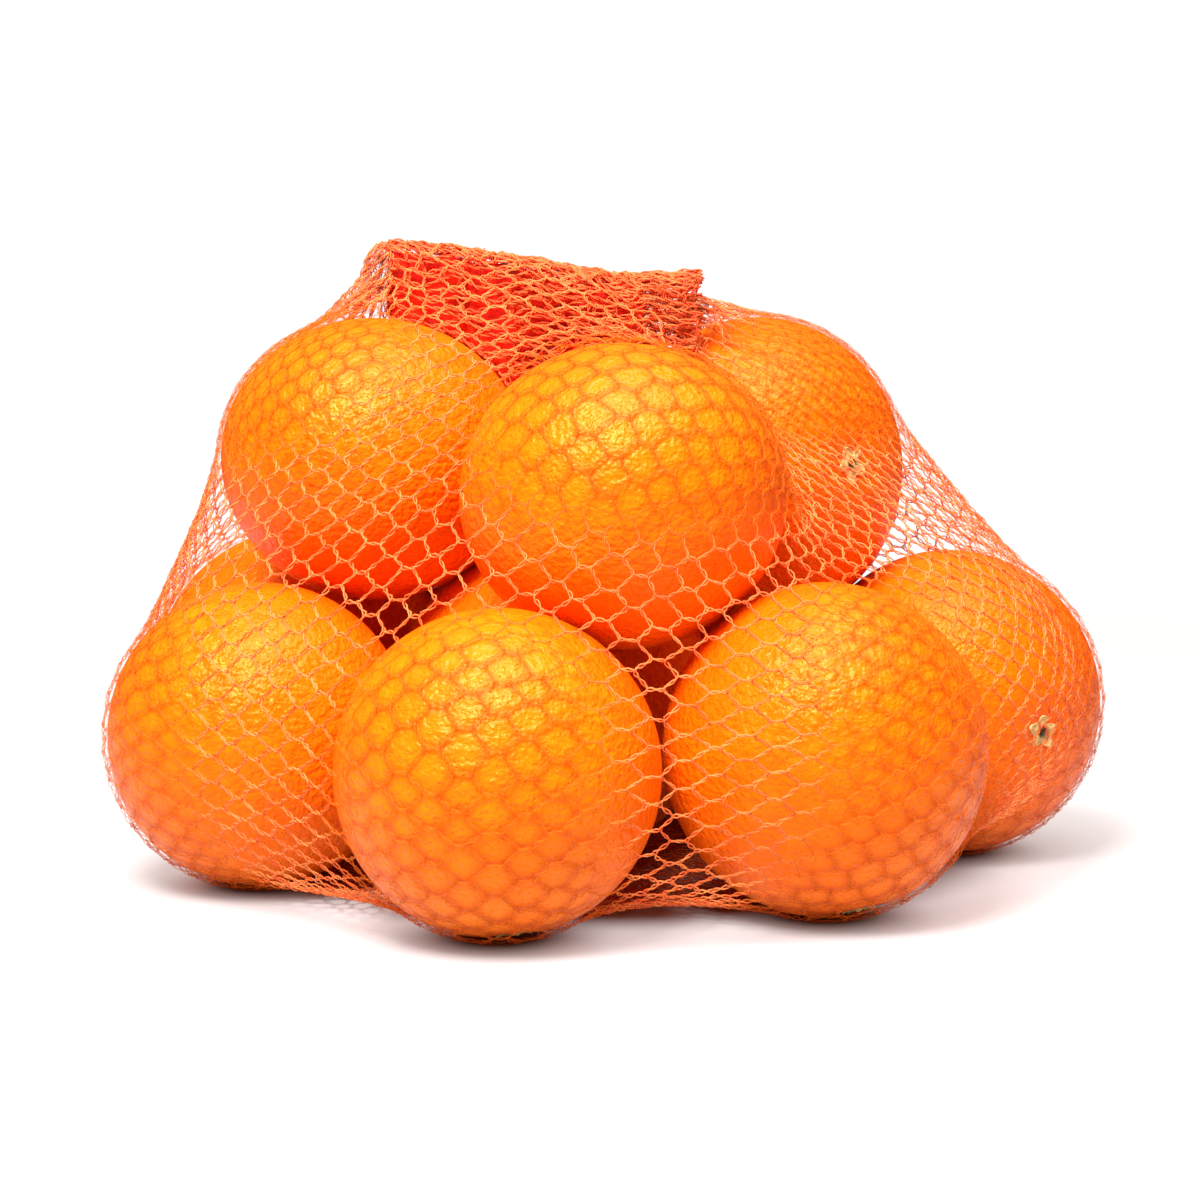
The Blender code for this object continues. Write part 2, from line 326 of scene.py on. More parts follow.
@dataclass(frozen=True)
class FilmFinish:
    """Glossy opaque red film, bare of print."""

    light: tuple = (0.84, 0.020, 0.006, 1.0)
    # Painted shade: the film's colour along its folds.
    dark: tuple = (0.40, 0.004, 0.003, 1.0)
    fold_scale: float = 95.0
    wrinkle_scale: float = 420.0
    fold_span: tuple = (0.42, 0.68)
    fold_height: float = 2.0
    roughness: float = 0.16
    rougher: float = 0.16
    bump_depth: float = 0.0006
    bump_strength: float = 0.5
    coat: float = 0.12
    coat_roughness: float = 0.1

    def material(self) -> Material:
        """Make the material: red, darker along the folds as painted shade, glossy, with soft wrinkles.

        Returns:
            The material.
        """
        sheet = Sheet(bpy.data.materials.new("label film"))
        folds = sheet.noise(self.fold_scale, 3.0)
        wrinkles = sheet.noise(self.wrinkle_scale, 2.0)
        height = wrinkles + folds * self.fold_height
        # The folds darken the red as painted shade.
        return sheet.dress(
            {
                "Base Color": sheet.blend(folds.between(*self.fold_span), self.light, self.dark),
                "Roughness": self.roughness + wrinkles * self.rougher,
                "Normal": sheet.bump(height, self.bump_depth, self.bump_strength),
                "Coat Weight": self.coat,
                "Coat Roughness": self.coat_roughness,
            }
        )


@dataclass(frozen=True)
class StemFinish:
    """Dry olive-tan stem button."""

    tan: tuple = (0.66, 0.44, 0.15, 1.0)
    olive: tuple = (0.07, 0.055, 0.015, 1.0)
    fleck_scale: float = 900.0
    fleck_share: float = 0.5
    fleck_shift: float = 0.25
    olive_span: tuple = (0.2, 0.8)
    roughness: float = 0.6
    rougher: float = 0.25
    bump_depth: float = 0.0003
    bump_strength: float = 0.7

    def material(self) -> Material:
        """Make the material: tan lobes that go olive in the middle, dry and rough.

        Returns:
            The material.
        """
        sheet = Sheet(bpy.data.materials.new("stem button"))
        fleck = sheet.noise(self.fleck_scale, 3.0)
        middle = sheet.attribute("middle") + fleck * self.fleck_share - self.fleck_shift
        return sheet.dress(
            {
                "Base Color": sheet.blend(middle.between(*self.olive_span), self.tan, self.olive),
                "Roughness": self.roughness + fleck * self.rougher,
                "Normal": sheet.bump(fleck, self.bump_depth, self.bump_strength),
            }
        )


@dataclass(frozen=True)
class FloorFinish:
    """Plain white studio floor with a faint shine, and a painted glow that leaves a painted shadow under the
    pile.

    Lengths are in metres, but for the painted contact shadow of each bottom orange: millimetres from where it
    stands.
    """

    white: tuple = (0.36, 0.36, 0.36, 1.0)
    painted_glow: float = 0.5
    glow_middle: tuple = (-0.005, 0.01)
    glow_half: tuple = (0.095, 0.075)
    glow_rise: tuple = (0.88, 1.15)
    contact_shadow_rise: tuple = (8.0, 30.0)
    contact_shadow_gap: float = 1.0
    fade: tuple = (0.32, 0.8)
    haze_scale: float = 3.0
    roughness: float = 0.26
    rougher: float = 0.04
    specular: float = 0.16

    @staticmethod
    def distance(sheet: Sheet, middle: tuple, half: tuple) -> Value:
        """Measure how far a place is from a middle, counted in half widths.

        Args:
            sheet: the floor's nodes.
            middle: the middle's X and Y, in metres.
            half: the half widths along X and Y, in metres.

        Returns:
            The distance at each place.
        """
        scale = (1.0 / half[0], 1.0 / half[1], 0.0)
        shift = (-middle[0] / half[0], -middle[1] / half[1], 0.0)
        inputs = {0: sheet.object_place, 1: scale, 2: shift}
        moved = sheet.node("ShaderNodeVectorMath", {"operation": "MULTIPLY_ADD"}, inputs).outputs["Vector"]
        length = sheet.node("ShaderNodeVectorMath", {"operation": "LENGTH"}, {0: moved})
        return Value(sheet, length.outputs["Value"])

    def material(self) -> Material:
        """Make the material: white, very slightly uneven in its shine, with a painted glow outside the pile's
        painted shadow, and fading out far from the pile.

        Returns:
            The material.
        """
        sheet = Sheet(bpy.data.materials.new("studio floor"))
        haze = sheet.noise(self.haze_scale, 1.0)
        # Painted glow: the floor emits light outside an ellipse round the pile and outside a spot round each
        # orange that stands on the floor, which leaves painted shadows there.
        bright = self.distance(sheet, self.glow_middle, self.glow_half).between(*self.glow_rise) * self.painted_glow
        for place in PLACES:
            if place.z < place.up + self.contact_shadow_gap:
                spot = self.distance(sheet, (place.x * MM, place.y * MM), (MM, MM))
                bright = bright * spot.between(*self.contact_shadow_rise)
        return sheet.dress(
            {
                "Base Color": self.white,
                "Roughness": self.roughness + haze * self.rougher,
                "Specular IOR Level": self.specular,
                "Emission Color": sheet.blend(bright, BLACK, WHITE),
                "Emission Strength": 1.0,
                "Alpha": 1.0 - self.distance(sheet, (0.0, 0.0), (1.0, 1.0)).between(*self.fade),
            }
        )


# Meshes


def make_piece(
    name: str, points: Array, faces: list, material: Material, numbers: dict | None = None
) -> Object:
    """Make an object at the origin from points and faces.

    Args:
        name: the piece's name.
        points: its vertices in millimetres, shape (n, 3).
        faces: arrays of vertex numbers, each of shape (m, corners).
        material: its material.
        numbers: arrays with one number for each vertex, by attribute name.

    Returns:
        The linked object.
    """
    mesh = bpy.data.meshes.new(name)
    corners = np.concatenate([part.ravel() for part in faces]).astype(np.int32)
    sizes = np.concatenate([np.full(len(part), part.shape[1], np.int32) for part in faces])
    starts = np.concatenate([[0], np.cumsum(sizes)[:-1]]).astype(np.int32)
    mesh.vertices.add(len(points))
    mesh.vertices.foreach_set("co", (points * MM).astype(np.float32).ravel())
    mesh.loops.add(len(corners))
    mesh.loops.foreach_set("vertex_index", corners)
    mesh.polygons.add(len(sizes))
    mesh.polygons.foreach_set("loop_start", starts)
    mesh.update(calc_edges=True)
    mesh.validate()
    mesh.shade_smooth()
    for key, values in (numbers or {}).items():
        layer = mesh.attributes.new(key, "FLOAT", "POINT")
        layer.data.foreach_set("value", np.asarray(values, np.float32).ravel())
    mesh.materials.append(material)
    item = bpy.data.objects.new(name, mesh)
    bpy.context.scene.collection.objects.link(item)
    return item


def carry(item: Object, slot: Slot, *nodes: str) -> Object:
    """Let a piece ride on the body and stand for CAD nodes.

    Args:
        item: the piece.
        slot: the record's slot for its finish; not used.
        nodes: the CAD nodes that it stands for.

    Returns:
        The piece.
    """
    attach(item, BODY)
    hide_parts(*nodes)
    return item


def ball_faces(rings: int, segments: int) -> list:
    """Return the faces of a ball of rings that a point closes at either end.

    Args:
        rings: how many rings there are.
        segments: how many points a ring has. The point before the first ring comes after them all, then the
            point behind the last ring.

    Returns:
        The faces with four corners and those with three.
    """
    number = np.arange(rings * segments).reshape(rings, segments)
    after = np.roll(number, -1, axis=1)
    end = np.full(segments, rings * segments)
    walls = np.stack([number[:-1], number[1:], after[1:], after[:-1]], -1).reshape(-1, 4)
    caps = [np.stack([end, number[0], after[0]], -1), np.stack([end + 1, after[-1], number[-1]], -1)]
    return [walls, np.concatenate(caps)]


def smooth_step(share: Array) -> Array:
    """Return 3s^2 - 2s^3 of the share, held between 0 and 1."""
    held = np.clip(share, 0.0, 1.0)
    return held * held * (3.0 - 2.0 * held)


def unit(vectors: Array) -> Array:
    """Return the vectors with a length of 1."""
    return vectors / np.maximum(np.linalg.norm(vectors, axis=-1, keepdims=True), 1e-9)


def across_to(axis: Array, hint: Array) -> tuple:
    """Return two unit vectors square to the axis and to each other, the first one near the hint."""
    first = unit(hint - (hint * axis).sum(-1, keepdims=True) * axis)
    return first, np.cross(axis, first)


@dataclass(frozen=True)
class Bell:
    """A smooth hump: its height, where its middle is, and the width over which it falls off."""

    height: float
    middle: float
    width: float

    def at(self, places: Array) -> Array:
        """Return the height times e to minus the square of the distance from the middle in widths."""
        return self.height * np.exp(-(((places - self.middle) / self.width) ** 2))


@dataclass(frozen=True)
class Wave:
    """A sine wave: its size, its radians to the millimetre along X and upwards, and its start in radians."""

    size: float
    along: float
    upward: float = 0.0
    start: float = 0.0

    def at(self, x: Array, z: Array) -> Array:
        """Return the wave at those places."""
        return self.size * np.sin(self.along * x + self.upward * z + self.start)


# Oranges


@dataclass(frozen=True)
class Place:
    """Where an orange lies: its middle, its radii across and upwards, its stem's direction and its tone."""

    name: str
    x: float
    y: float
    z: float
    across: float
    up: float
    stem: tuple
    tone: float

    @property
    def middle(self) -> Array:
        """Return the middle."""
        return np.array([self.x, self.y, self.z])

    @property
    def radii(self) -> Array:
        """Return the radii along X, Y and Z."""
        return np.array([self.across, self.across, self.up])


PLACES = (
    Place("front_left", -89.25, -20.2, 37.9, 38.0, 38.0, (-0.95, 0.28, -0.15), 0.02),
    Place("front_middle", -27.75, -77.7, 38.2, 38.0, 38.3, (0.1, -0.2, -0.97), -0.05),
    Place("front_right", 49.25, -55.2, 39.9, 38.8, 40.0, (0.2, -0.25, -0.95), 0.0),
    Place("side_right", 88.25, 22.3, 40.0, 39.6, 40.1, (0.52, -0.85, -0.084), 0.14),
    Place("back_left", -86.25, 59.8, 41.3, 41.6, 41.4, (-0.6, 0.75, 0.3), 0.04),
    Place("back_right", 28.25, 76.3, 39.6, 39.4, 39.7, (0.2, 0.95, 0.25), -0.02),
    Place("inner", -16.0, 9.5, 41.7, 41.8, 41.8, (0.0, 0.2, 0.98), 0.1),
    Place("top_left", -62.25, 8.8, 105.0, 39.5, 36.4, (-0.25, 0.35, 0.9), -0.02),
    Place("top_middle", 1.25, -43.7, 99.4, 39.4, 36.8, (0.2, 0.3, 0.93), 0.0),
    Place("top_right", 37.25, 26.3, 100.8, 38.3, 40.4, (0.606, -0.791, 0.09), 0.1),
    Place("top_back", -28.8, 77.0, 91.2, 38.5, 37.5, (0.35, 0.6, 0.72), 0.05),
)


def push_out(points: Array, gap: float) -> Array:
    """Move each point that lies within the gap of an orange out to the gap, away from its middle.

    Args:
        points: the points, in millimetres.
        gap: the least distance from the skin.

    Returns:
        The moved points.
    """
    moved = points.copy()
    for place in PLACES:
        radii = place.radii + gap
        offset = (moved - place.middle) / radii
        depth = np.sqrt((offset * offset).sum(-1))
        inside = depth < 1.0
        moved[inside] = place.middle + offset[inside] / np.maximum(depth[inside], 1e-6)[:, None] * radii
    return moved


def resting_share(points: Array, near: float = 1.0, span: float = 4.5) -> Array:
    """Work out how much of a thread rests on the fruit: 1 near the skin, smoothly down to 0 off it.

    Args:
        points: the points, in millimetres.
        near: up to this distance from the skin, the share is 1.
        span: over this further distance it falls to 0.

    Returns:
        The share of each point.
    """
    gaps = []
    for place in PLACES:
        offset = (points - place.middle) / place.radii
        gaps.append((np.sqrt((offset * offset).sum(-1)) - 1.0) * place.across)
    return 1.0 - smooth_step((np.min(gaps, axis=0) - near) / span)


@dataclass
class NetShade:
    """The soft painted shadow lines that the strands lay on the skin, held as a block of small cubes."""

    low: tuple = (-136.0, -124.0, -4.0)
    high: tuple = (136.0, 124.0, 170.0)
    cube: float = 1.0
    reach: float = 0.85
    full: float = 0.17
    wide_reach: float = 3.0
    wide_full: float = 0.045
    least: float = 0.3
    bell_ends: float = 2.5
    block: Array | None = None

    def lay(self, points: Array) -> None:
        """Count the strands' points in each cube, smooth the counts, and thin them out where they crowd.

        Args:
            points: points along the strands' lines.
        """
        size = np.ceil((np.array(self.high) - np.array(self.low)) / self.cube).astype(int)
        spot = np.clip(np.floor((points - self.low) / self.cube).astype(int), 0, size - 1)
        block = np.zeros(size, np.float32)
        np.add.at(block, tuple(spot.T), 1.0)
        fine = 1.0 - np.exp(-self.smooth(block, self.reach) / self.full)
        wide = self.smooth(block, self.wide_reach)
        self.block = fine * np.clip(self.wide_full / np.maximum(wide, 1e-6), self.least, 1.0)

    def smooth(self, block: Array, reach: float) -> Array:
        """Smooth counts with a bell, along each axis in turn.

        Args:
            block: the counts.
            reach: the bell's width in millimetres.

        Returns:
            The smoothed counts.
        """
        count = int(math.ceil(self.bell_ends * reach / self.cube))
        steps = np.arange(-count, count + 1)
        bell = np.exp(-0.5 * (steps * self.cube / reach) ** 2)
        bell = (bell / bell.sum()).astype(np.float32)
        for axis in range(3):
            block = sum(weight * np.roll(block, step, axis) for step, weight in zip(steps, bell))
        return block

    def at(self, points: Array) -> Array:
        """Look up the shade at points, blended from the eight nearest cubes.

        Args:
            points: the points, in millimetres.

        Returns:
            The shade at each point, from 0 to 1.
        """
        spot = (points - self.low) / self.cube - 0.5
        spot = np.clip(spot, 0.0, np.array(self.block.shape) - 1.01)
        base = spot.astype(int)
        part = spot - base
        total = np.zeros(len(points))
        for corner in np.ndindex(2, 2, 2):
            weight = np.where(corner, part, 1.0 - part).prod(-1)
            total += weight * self.block[tuple((base + corner).T)]
        return total


@dataclass
class Orange:
    """One orange: an uneven ball with a dimple at its stem and a small one at its blossom end.

    A bell's height is a depth in millimetres or a share of a tint, and its place and width are angles from
    the stem, in radians.
    """

    place: Place
    seed: int
    rings: int = 130
    segments: int = 236
    lump: float = 0.45
    wave_count: int = 7
    wave_share: float = 1.4
    wave_rate: tuple = (2.0, 5.0)
    dimple: Bell = Bell(1.7, 0.0, 0.17)
    rib_count: int = 9
    rib_sway: float = 2.0
    rib_depth: float = 0.22
    ribs: Bell = Bell(1.0, 0.2, 0.14)
    rib_fade: Bell = Bell(1.0, 0.0, 0.5)
    blossom: Bell = Bell(0.5, math.pi, 0.07)
    stem_tint: Bell = Bell(1.0, 0.0, 0.22)
    blossom_tint: Bell = Bell(0.8, math.pi, 0.06)

    def axes(self) -> tuple:
        """Work out the directions of the stem.

        Returns:
            The stem's own direction and two across it.
        """
        axis = unit(np.array(self.place.stem, float))
        hint = np.array([0.0, 0.0, 1.0]) if abs(axis[2]) < 0.8 else np.array([1.0, 0.0, 0.0])
        first, second = across_to(axis, hint)
        return axis, first, second

    def surface(self, polar: Array, turn: Array) -> Array:
        """Work out points of the skin.

        The point is the middle plus each radius times the direction, less a sunk depth. The depth is low
        waves in the direction, a dimple that falls off as a bell round the stem with shallow ribs, and a
        small dimple at the other end.

        Args:
            polar: angles from the stem, in radians.
            turn: angles round the stem, in radians.

        Returns:
            Points in millimetres.
        """
        axis, first, second = self.axes()
        round_it = np.cos(turn)[..., None] * first + np.sin(turn)[..., None] * second
        ways = np.cos(polar)[..., None] * axis + np.sin(polar)[..., None] * round_it
        draw = np.random.default_rng(self.seed)
        waves = np.zeros(polar.shape)
        for _ in range(self.wave_count):
            push = draw.normal(0.0, 1.0, 3)
            push *= draw.uniform(*self.wave_rate) / np.linalg.norm(push)
            waves += np.sin(ways @ push + draw.uniform(0.0, DRAWN_TURN)) / self.wave_count
        ribs = np.cos(self.rib_count * turn + self.rib_sway * np.sin(turn)) * self.ribs.at(polar)
        sunk = self.lump * (1.0 - waves * self.wave_share) * 0.5
        sunk = sunk + self.dimple.at(polar) + self.rib_depth * (1.0 + ribs) * 0.5 * self.rib_fade.at(polar)
        sunk = sunk + self.blossom.at(polar)
        return self.place.middle + ways * (self.place.radii - np.maximum(sunk, 0.0)[..., None])

    def build(self, material: Material, shade: NetShade) -> Object:
        """Make the orange's mesh: rings from stem to blossom end, closed by a point at each.

        Args:
            material: the peel.
            shade: the painted shadow lines that the net lays on it.

        Returns:
            The orange.
        """
        polar = np.linspace(0.0, math.pi, self.rings + 1)[1:-1, None]
        turn = np.linspace(0.0, FULL_TURN, self.segments, endpoint=False)[None, :]
        polar = polar + 0.0 * turn
        body = self.surface(polar, turn + 0.0 * polar).reshape(-1, 3)
        ends = self.surface(np.array([0.0, math.pi]), np.array([0.0, 0.0]))
        points = np.concatenate([body, ends])
        points[:, 2] = np.maximum(points[:, 2], 0.0)
        angle = np.concatenate([polar.ravel(), [0.0, math.pi]])
        numbers = {
            "stem_end": self.stem_tint.at(angle) + self.blossom_tint.at(angle),
            "tone": np.full(len(points), self.place.tone),
            # Painted shadow of the net's strands on the skin.
            "net_shade": shade.at(points),
        }
        faces = ball_faces(self.rings - 1, self.segments)
        item = make_piece(f"orange_{self.place.name}", points, faces, material, numbers)
        return carry(item, Slot.PEEL, NET_NODE)


@dataclass
class StemButton:
    """The dry star that is left of the stem, with a round scar in its middle.

    Bells run over the share of the way from the middle to the tips.
    """

    orange: Orange
    radius: float = 3.9
    lobes: int = 5
    rings: int = 18
    segments: int = 60
    height: float = 1.25
    plateau: float = 0.55
    rim: Bell = Bell(0.45, 0.42, 0.2)
    bowl: Bell = Bell(0.5, 0.0, 0.28)
    dome: Bell = Bell(0.35, 0.0, 0.12)
    lobe_depth: float = 0.2
    unequal: float = 0.35
    lobe_rise: float = 0.16
    crinkles: float = 15.0
    crinkle_rise: float = 0.12
    curl: float = 0.55
    curl_start: float = 0.75
    tan_start: float = 0.92
    sunk: float = 0.4
    under: float = 0.5
    ends: tuple = (0.12, -0.9)

    def build(self, material: Material) -> Object:
        """Make the button: its radius times one plus a wave of the lobes, its height a rim round a sunk scar.

        The height over the skin is a plateau and a rim, less a bowl in the middle, plus a small dome there
        and low crinkles, less the depth that the button is sunk. The underside closes it inside the skin.

        Args:
            material: the dry stem.

        Returns:
            The button.
        """
        axis = self.orange.axes()[0]
        draw = np.random.default_rng(self.orange.seed + 50)
        share = np.linspace(0.0, 1.0, self.rings + 1)[1:, None]
        turn = np.linspace(0.0, FULL_TURN, self.segments, endpoint=False)[None, :]
        wave = np.cos(self.lobes * turn + draw.uniform(0.0, DRAWN_TURN))
        wave = wave + self.unequal * np.cos(2.0 * turn + draw.uniform(0.0, DRAWN_TURN))
        reach = self.radius * share * (1.0 + self.lobe_depth * wave * share**1.5)
        rise = self.height * (self.plateau + self.rim.at(share))
        rise = rise - self.bowl.at(share) + self.dome.at(share)
        rise = rise + self.lobe_rise * wave * share + self.crinkle_rise * np.cos(self.crinkles * turn) * share
        curl = self.curl * np.clip(share - self.curl_start, 0.0, 1.0) * (1.0 + wave)
        skin = self.orange.surface(reach / self.orange.place.radii.mean(), turn)
        base = self.orange.surface(np.zeros(1), np.zeros(1))
        upper = skin + (rise + curl - self.sunk)[..., None] * axis
        lower = skin[-1] - self.under * axis
        points = np.concatenate([upper.reshape(-1, 3), lower] + [base + end * axis for end in self.ends])
        fade = 1.0 - smooth_step(share / self.tan_start) + 0.0 * turn
        middle = np.concatenate([fade.ravel(), np.zeros(self.segments), [1.0, 0.0]])
        faces = ball_faces(self.rings + 1, self.segments)
        item = make_piece(f"stem_{self.orange.place.name}", points, faces, material, {"middle": middle})
        return carry(item, Slot.STEM, NET_NODE)


# The tail's form


@dataclass
class TailForm:
    """The space of the folded tail: a flattened bunch of net that stands on edge, from left to right."""

    left: float = -59.25
    right: float = 20.25
    left_y: float = 25.3
    right_y: float = 2.3
    wave: float = 1.5
    wave_length: float = 38.0
    turn_back: float = 1.4
    half: float = 4.5
    foot: float = 112.0
    ridge_left: float = 160.5
    ridge_drop: float = 10.0
    ridge_end_rise: float = 2.5
    ridge_end_start: float = 0.75
    side_share: float = 0.96

    def centre(self, x: Array) -> Array:
        """Work out the middle plane: a lean, a slow wave, and a turn back past the cut end.

        Args:
            x: places along the tail.

        Returns:
            The y of the middle plane there.
        """
        share = (x - self.left) / (self.right - self.left)
        lean = self.left_y + (self.right_y - self.left_y) * share
        lean = lean + self.turn_back * np.maximum(x - self.right, 0.0)
        return lean + self.wave * np.sin(FULL_TURN * (x - self.left) / self.wave_length)

    def ridge(self, x: Array) -> Array:
        """Work out the upper edge: a smooth drop, then a small rise at the cut end.

        Args:
            x: places along the tail.

        Returns:
            The height of the upper edge there.
        """
        share = np.clip((x - self.left) / (self.right - self.left), 0.0, 1.0)
        end = np.maximum(share - self.ridge_end_start, 0.0) / (1.0 - self.ridge_end_start)
        return self.ridge_left - self.ridge_drop * smooth_step(share) + self.ridge_end_rise * end

    def push_off(self, points: Array, thickness: float, shift: float) -> Array:
        """Move points out of the tail's space.

        Args:
            points: the points.
            thickness: how far the space goes to either side of its middle plane, and round its top and ends.
            shift: how far it lies behind the tail's middle.

        Returns:
            The moved points.
        """
        moved = points.copy()
        held = np.clip(points[:, 0], self.left, self.right)
        middle = self.centre(held) + shift
        high = self.ridge(held) - thickness
        along = points[:, 0] - held
        aside = (points[:, 1] - middle) * self.side_share
        above = np.maximum(points[:, 2] - high, 0.0)
        away = np.sqrt(along**2 + aside**2 + above**2)
        inside = (away < thickness) & (points[:, 2] > self.foot)
        grow = thickness / np.maximum(away[inside], 1e-3)
        moved[inside, 0] = held[inside] + along[inside] * grow
        moved[inside, 1] = middle[inside] + aside[inside] * grow / self.side_share
        moved[inside, 2] = np.minimum(points[inside, 2], high[inside]) + above[inside] * grow
        return moved


# The knitted net


def knot_layout(rows: int, columns: int, half_link: float) -> tuple:
    """Lay out a net's knots: one in each column of a row, half a column on from the row before.

    Args:
        rows: how many rows there are.
        columns: how many knots a row has.
        half_link: how far a knot's left and right points are from its middle, in columns.

    Returns:
        The rows' numbers, and the places of the left and right points along their row, in columns.
    """
    row = np.arange(rows)[:, None, None]
    column = np.arange(columns)[None, :, None]
    side = np.array([-1.0, 1.0])[None, None, :]
    return row, column + 0.5 * (row % 2) + half_link * side


def zigzags(knots: Array) -> Array:
    """Return the lines along the net: each follows the right point of a knot, then the left one of the next.

    Args:
        knots: the points, of shape (rows, columns, 2, 3).

    Returns:
        The lines, of shape (rows, lines, 3).
    """
    even = (np.arange(len(knots)) % 2 == 0)[:, None, None]
    rightward = np.where(even, knots[:, :, 1], knots[:, :, 0])
    leftward = np.where(even, knots[:, :, 0], np.roll(knots[:, :, 1], 1, axis=1))
    return np.concatenate([rightward, leftward], axis=1)


def curve(knots: Array, steps: int) -> Array:
    """Draw smooth lines through knots, each stretch a cubic on its four nearest knots.

    Args:
        knots: points, of shape (lines, knots, 3).
        steps: how many points each stretch gets.

    Returns:
        The lines, of shape (lines, points, 3).
    """
    before = np.concatenate([2 * knots[:, :1] - knots[:, 1:2], knots[:, :-2]], axis=1)[:, :, None]
    here = knots[:, :-1, None]
    after = knots[:, 1:, None]
    beyond = np.concatenate([knots[:, 2:], 2 * knots[:, -1:] - knots[:, -2:-1]], axis=1)[:, :, None]
    share = (np.arange(steps) / steps)[None, None, :, None]
    line = 0.5 * (
        2.0 * here
        + (after - before) * share
        + (2.0 * before - 5.0 * here + 4.0 * after - beyond) * share**2
        + (3.0 * here - before - 3.0 * after + beyond) * share**3
    )
    return np.concatenate([line.reshape(len(knots), -1, 3), knots[:, -1:]], axis=1)


def settle(lines: Array) -> Array:
    """Move the points of lines out of the oranges and off the floor.

    Args:
        lines: the lines.

    Returns:
        The moved lines, of the same shape.
    """
    flat = push_out(lines.reshape(-1, 3), NET_GAP)
    flat[:, 2] = np.maximum(flat[:, 2], NET_FLOOR)
    return flat.reshape(lines.shape)


def links_across(knots: Array, over: float, steps: int) -> Array:
    """Draw the links from left to right points.

    Args:
        knots: points of the net, of shape (rows, columns, 2, 3).
        over: the share by which a link is longer at each end.
        steps: how many points a link gets.

    Returns:
        The lines, of shape (links, points, 3).
    """
    share = np.linspace(-over, 1.0 + over, steps)[None, :, None]
    left, right = knots[:, :, 0].reshape(-1, 1, 3), knots[:, :, 1].reshape(-1, 1, 3)
    return settle(left + (right - left) * share)


@dataclass
class Crease:
    """A crease where the net is drawn taut from an upper orange to a lower one, on the side that it faces."""

    upper: str
    lower: str
    facing: tuple
    sag: float = 3.2
    radius: float = 9.0

    def push_off(self, points: Array) -> Array:
        """Move points out of a rod along the crease, which lies inside the tangent of the two oranges.

        Args:
            points: the points, in millimetres.

        Returns:
            The moved points.
        """
        places = {place.name: place for place in PLACES}
        first, second = places[self.upper], places[self.lower]
        start, run = first.middle, second.middle - first.middle
        along = unit(run)
        outward = unit(np.array(self.facing) - along * (np.array(self.facing) @ along))
        share = np.clip(((points - start) @ run) / (run @ run), 0.0, 1.0)
        reach = first.across + (second.across - first.across) * share - self.sag * 4.0 * share * (1.0 - share)
        rod = start + share[:, None] * run + (reach - self.radius)[:, None] * outward
        offset = points - rod
        away = np.linalg.norm(offset, axis=1)
        inside = away < self.radius
        moved = points.copy()
        moved[inside] = rod[inside] + offset[inside] / np.maximum(away[inside], 1e-6)[:, None] * self.radius
        return moved


CREASES = (
    Crease("top_right", "side_right", (1.0, 0.0, 0.0), sag=2.0),
    Crease("top_left", "back_left", (-1.0, 0.0, 0.0)),
    Crease("top_left", "front_left", (-1.0, -0.6, 0.0)),
    Crease("top_back", "back_left", (-0.5, 1.0, 0.0)),
    Crease("top_back", "back_right", (0.2, 1.0, 0.0)),
)


@dataclass
class Threads:
    """How a strand of the net is laid: two thin threads that twist round each other."""

    count: int = 2
    thread_radius: float = 0.22
    twist_radius: float = 0.33
    pitch: float = 5.6
    sides: int = 3
    swell: float = 0.35
    swell_rate: float = 0.37
    swell_start: float = 1.7

    def tubes(self, paths: Array, outward: Array, phase: Array) -> tuple:
        """Work out the threads' surfaces.

        Each thread's line is the strand's line plus the twist's radius times the cosine and sine of a turn
        that grows with the length, in the two directions across the line. Its tube is a ring of points
        carried along it.

        Args:
            paths: the strands' lines, shape (strands, steps, 3).
            outward: directions away from the fruit, of the same shape.
            phase: the turn at each strand's start, in radians.

        Returns:
            The points, and the faces with four corners each.
        """
        step = np.linalg.norm(np.diff(paths, axis=1), axis=-1)
        length = np.concatenate([np.zeros((len(paths), 1)), np.cumsum(step, axis=1)], axis=1)
        along = unit(np.gradient(paths, axis=1))
        first, second = across_to(along, outward)
        rings = []
        for thread in range(self.count):
            turn = FULL_TURN * (length / self.pitch + thread / self.count) + phase[:, None]
            swell = np.sin(turn * self.swell_rate + self.swell_start * phase[:, None])
            radius = self.twist_radius * (1.0 + self.swell * swell)
            across = np.cos(turn)[..., None] * first + np.sin(turn)[..., None] * second
            line = paths + radius[..., None] * across
            ahead = unit(np.gradient(line, axis=1))
            side, other = across_to(ahead, first)
            angle = FULL_TURN * np.arange(self.sides) / self.sides
            ring = np.cos(angle)[:, None] * side[..., None, :] + np.sin(angle)[:, None] * other[..., None, :]
            rings.append(line[..., None, :] + self.thread_radius * ring)
        points = np.stack(rings)
        shape = points.shape[:-1]
        number = np.arange(np.prod(shape)).reshape(shape)
        after = np.roll(number, -1, axis=-1)
        corners = [number[:, :, :-1], after[:, :, :-1], after[:, :, 1:], number[:, :, 1:]]
        walls = np.stack(corners, -1).reshape(-1, 4)
        starts = number[:, :, 0, ::-1].reshape(-1, self.sides)
        ends = number[:, :, -1, :].reshape(-1, self.sides)
        return points.reshape(-1, 3), [walls, starts, ends]


